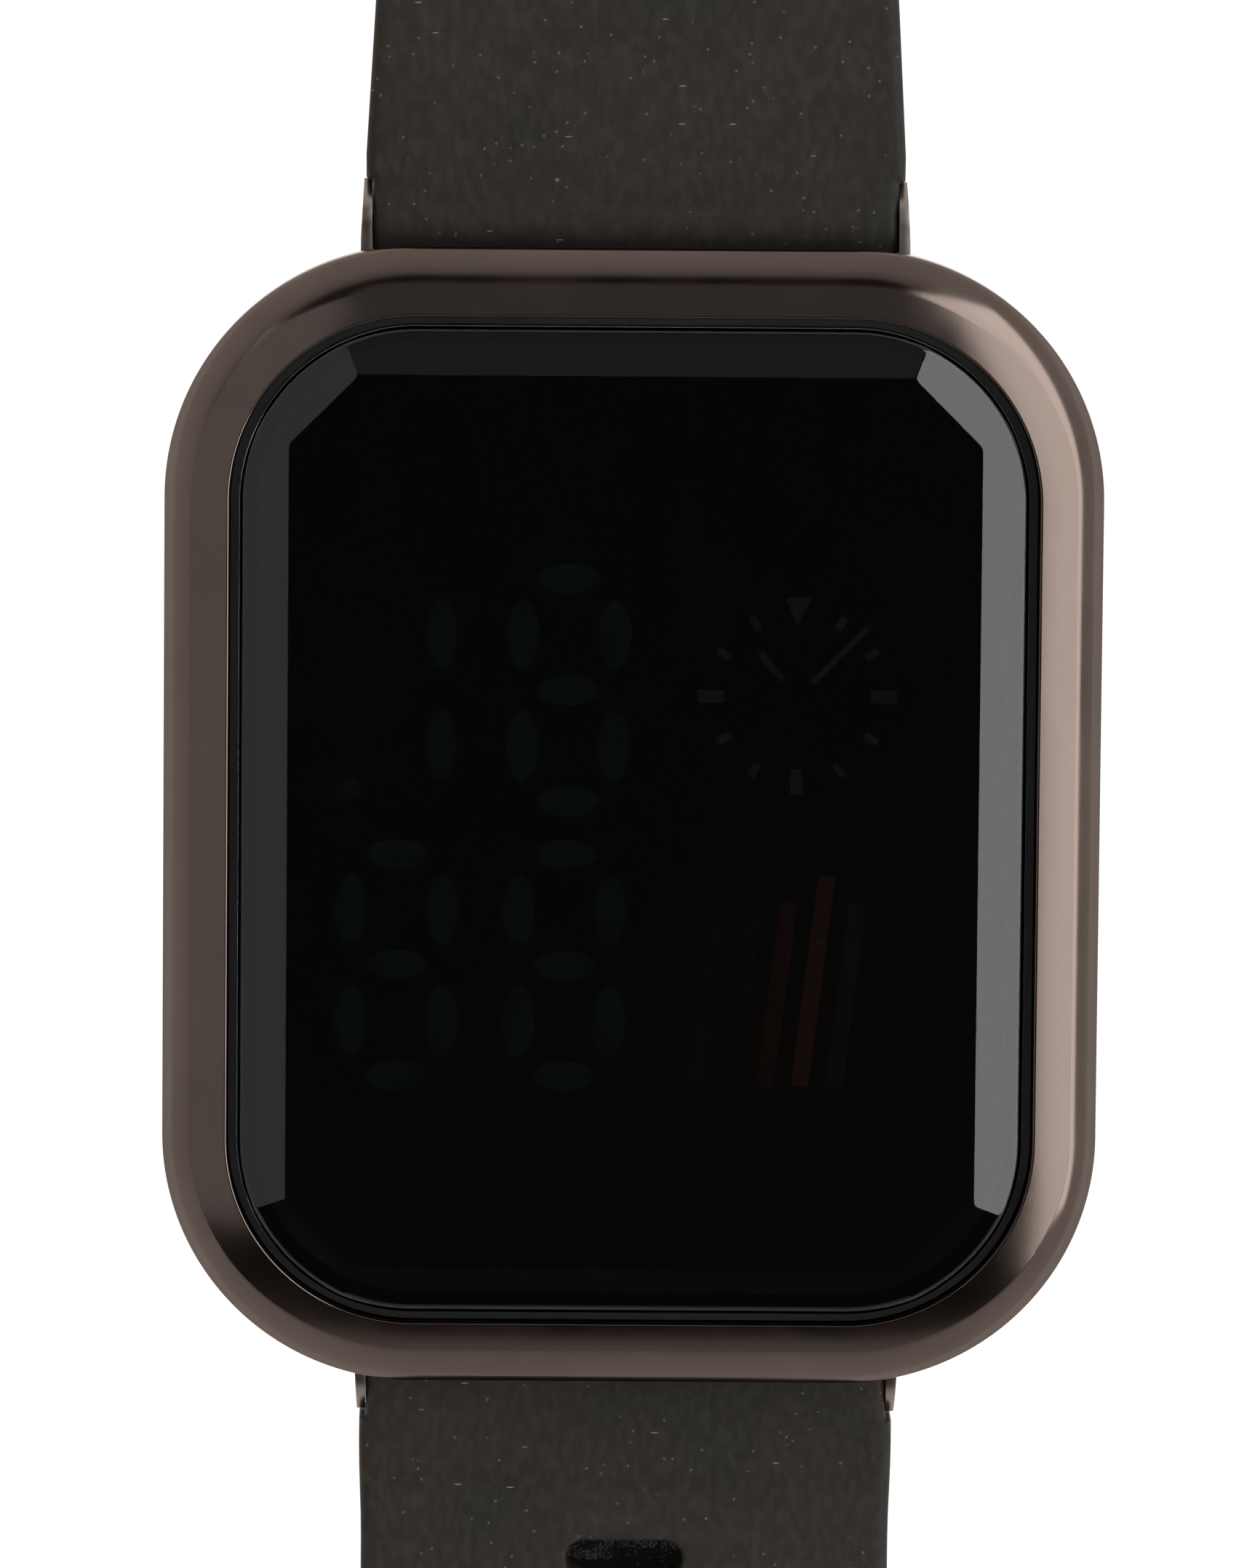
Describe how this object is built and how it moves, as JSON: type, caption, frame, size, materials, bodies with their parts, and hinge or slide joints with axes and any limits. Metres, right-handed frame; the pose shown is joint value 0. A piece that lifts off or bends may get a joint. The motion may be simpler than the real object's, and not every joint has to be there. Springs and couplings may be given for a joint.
{
  "type": "smartwatch",
  "caption": "Rectangular wristwatch with a facet-cut crystal, dark plated bezel, LED digit display, side button and a two-piece rubber strap with buckle.",
  "frame": {"origin": "centre of the case back's resting face", "axes": "+Z out of the crystal, +Y towards 12 o'clock along the strap, +X towards 3 o'clock"},
  "size_m": [0.038, 0.251, 0.0107],
  "materials": {
    "bezel": "dark plated, polished",
    "crystal": "facet-cut, dark tinted",
    "seal": "moulded, satin",
    "film": "printed, smoked",
    "mask": "moulded",
    "diffuser": "cast, translucent",
    "led": "cast epoxy",
    "board": "solder mask",
    "chip": "epoxy",
    "steel": "fine brushed",
    "plated": "bright plated",
    "contact": "bright",
    "housing": "dark plated, satin",
    "spacer": "moulded",
    "switch": "moulded",
    "button": "dark plated, polished",
    "strap": "matt moulded",
    "buckle": "dark plated, brushed"
  },
  "bodies": {
    "case": {"bezel": "bezel", "crystal": "crystal", "crystal_gasket": "seal", "dial_film": "film", "segment_mask": "mask", "segment_diffusers": "diffuser", "led_chips": "led", "circuit_board": "board", "driver_chip": "chip", "timing_crystal": "plated", "chip_resistors": "chip", "tact_switch": "switch", "battery_cell": "steel", "battery_holder": "spacer", "battery_strap": "plated", "negative_contact": "contact", "mid_case": "housing", "back_gasket": "seal", "case_back": "steel", "back_screws": "steel", "button_seal": "seal", "button_spring": "steel", "upper_bar_tube": "steel", "upper_bar_spring": "steel", "lower_bar_tube": "steel", "lower_bar_spring": "steel"},
    "button": {"push_button": "button", "button_clip": "steel", "switch_plunger": "steel"},
    "upper_left_tip": {"upper_bar_tip_left": "steel"},
    "upper_right_tip": {"upper_bar_tip_right": "steel"},
    "lower_left_tip": {"lower_bar_tip_left": "steel"},
    "lower_right_tip": {"lower_bar_tip_right": "steel"},
    "upper_strap": {"upper_strap": "strap", "fixed_keeper": "strap"},
    "free_keeper": {"free_keeper": "strap"},
    "buckle": {"buckle_frame": "buckle", "buckle_pin": "steel"},
    "tongue": {"buckle_tongue": "buckle"},
    "lower_strap": {"lower_strap": "strap"}
  },
  "joints": [
    {"name": "button_press", "type": "slide", "parent": "case", "child": "button", "axis": [-1, 0, 0], "range_m": [0, 0.0005], "stiffness_N_per_m": 400, "springref_m": -0.001, "deforming": ["button_spring"]},
    {"name": "upper_left_tip_slide", "type": "slide", "parent": "case", "child": "upper_left_tip", "axis": [1, 0, 0], "range_m": [0, 0.0011], "stiffness_N_per_m": 60, "springref_m": -0.002, "deforming": ["upper_bar_spring"]},
    {"name": "upper_right_tip_slide", "type": "slide", "parent": "case", "child": "upper_right_tip", "axis": [-1, 0, 0], "range_m": [0, 0.0011], "stiffness_N_per_m": 60, "springref_m": -0.002, "deforming": ["upper_bar_spring"]},
    {"name": "lower_left_tip_slide", "type": "slide", "parent": "case", "child": "lower_left_tip", "axis": [1, 0, 0], "range_m": [0, 0.0011], "stiffness_N_per_m": 60, "springref_m": -0.002, "deforming": ["lower_bar_spring"]},
    {"name": "lower_right_tip_slide", "type": "slide", "parent": "case", "child": "lower_right_tip", "axis": [-1, 0, 0], "range_m": [0, 0.0011], "stiffness_N_per_m": 60, "springref_m": -0.002, "deforming": ["lower_bar_spring"]},
    {"name": "upper_strap_hinge", "type": "hinge", "parent": "case", "child": "upper_strap", "pos_m": [0, 0.0236, 0.0033], "axis": [1, 0, 0], "range_deg": [-75, 30]},
    {"name": "lower_strap_hinge", "type": "hinge", "parent": "case", "child": "lower_strap", "pos_m": [0, -0.0236, 0.0033], "axis": [-1, 0, 0], "range_deg": [-75, 30]},
    {"name": "free_keeper_slide", "type": "slide", "parent": "upper_strap", "child": "free_keeper", "axis": [0, 1, 0], "range_m": [-0.019, 0.0095]},
    {"name": "buckle_hinge", "type": "hinge", "parent": "upper_strap", "child": "buckle", "pos_m": [0, 0.0968, 0.00225], "axis": [1, 0, 0], "range_deg": [-75, 60]},
    {"name": "tongue_hinge", "type": "hinge", "parent": "buckle", "child": "tongue", "pos_m": [0, 0.0968, 0.00225], "axis": [1, 0, 0], "range_deg": [0, 75]}
  ]
}
